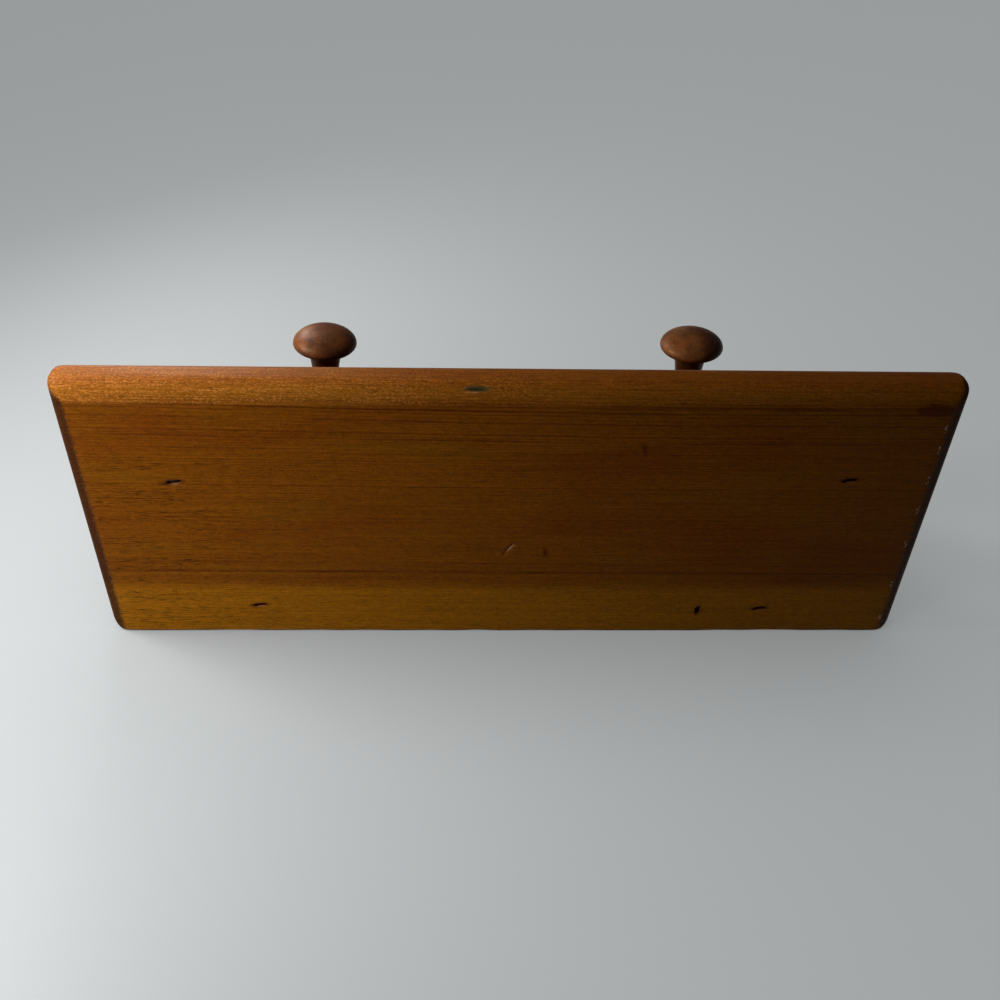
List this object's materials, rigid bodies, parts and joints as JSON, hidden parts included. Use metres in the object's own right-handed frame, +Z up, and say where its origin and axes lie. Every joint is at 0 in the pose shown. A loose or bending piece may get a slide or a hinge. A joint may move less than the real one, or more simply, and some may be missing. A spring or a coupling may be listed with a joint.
{
  "type": "shaker peg rail with shelf",
  "caption": "Small wall rail with turned mushroom pegs under a round-edged shelf board on coved brackets, hung on keyhole plates.",
  "frame": {"origin": "on the wall's plane, at the middle of the rail's back, midway between the pegs and level with their axes", "axes": "+Z up, +Y into the wall, so the front faces -Y; +X to the right as seen from the front"},
  "size_m": [0.33, 0.122, 0.14],
  "materials": {
    "stained_softwood": "amber stain under a thin satin varnish",
    "peg_hardwood": "walnut stain, satin",
    "staple_wire": "darkened galvanised wire",
    "hanger_steel": "zinc plated, satin",
    "screw_steel": "zinc plated"
  },
  "bodies": {
    "root": {"shelf_board": "stained_softwood", "back_rail": "stained_softwood", "bracket_left": "stained_softwood", "bracket_right": "stained_softwood", "peg_left": "peg_hardwood", "peg_right": "peg_hardwood", "shelf_staple_bracket_left": "staple_wire", "shelf_staple_bracket_right": "staple_wire", "shelf_staple_rail_left": "staple_wire", "shelf_staple_rail_right": "staple_wire", "bracket_staple_left_upper": "staple_wire", "bracket_staple_left_lower": "staple_wire", "bracket_staple_right_upper": "staple_wire", "bracket_staple_right_lower": "staple_wire", "shelf_nail": "staple_wire", "hanger_plate_left": "hanger_steel", "hanger_plate_right": "hanger_steel", "hanger_screw_left_upper": "screw_steel", "hanger_screw_left_lower": "screw_steel", "hanger_screw_right_upper": "screw_steel", "hanger_screw_right_lower": "screw_steel"}
  },
  "joints": []
}
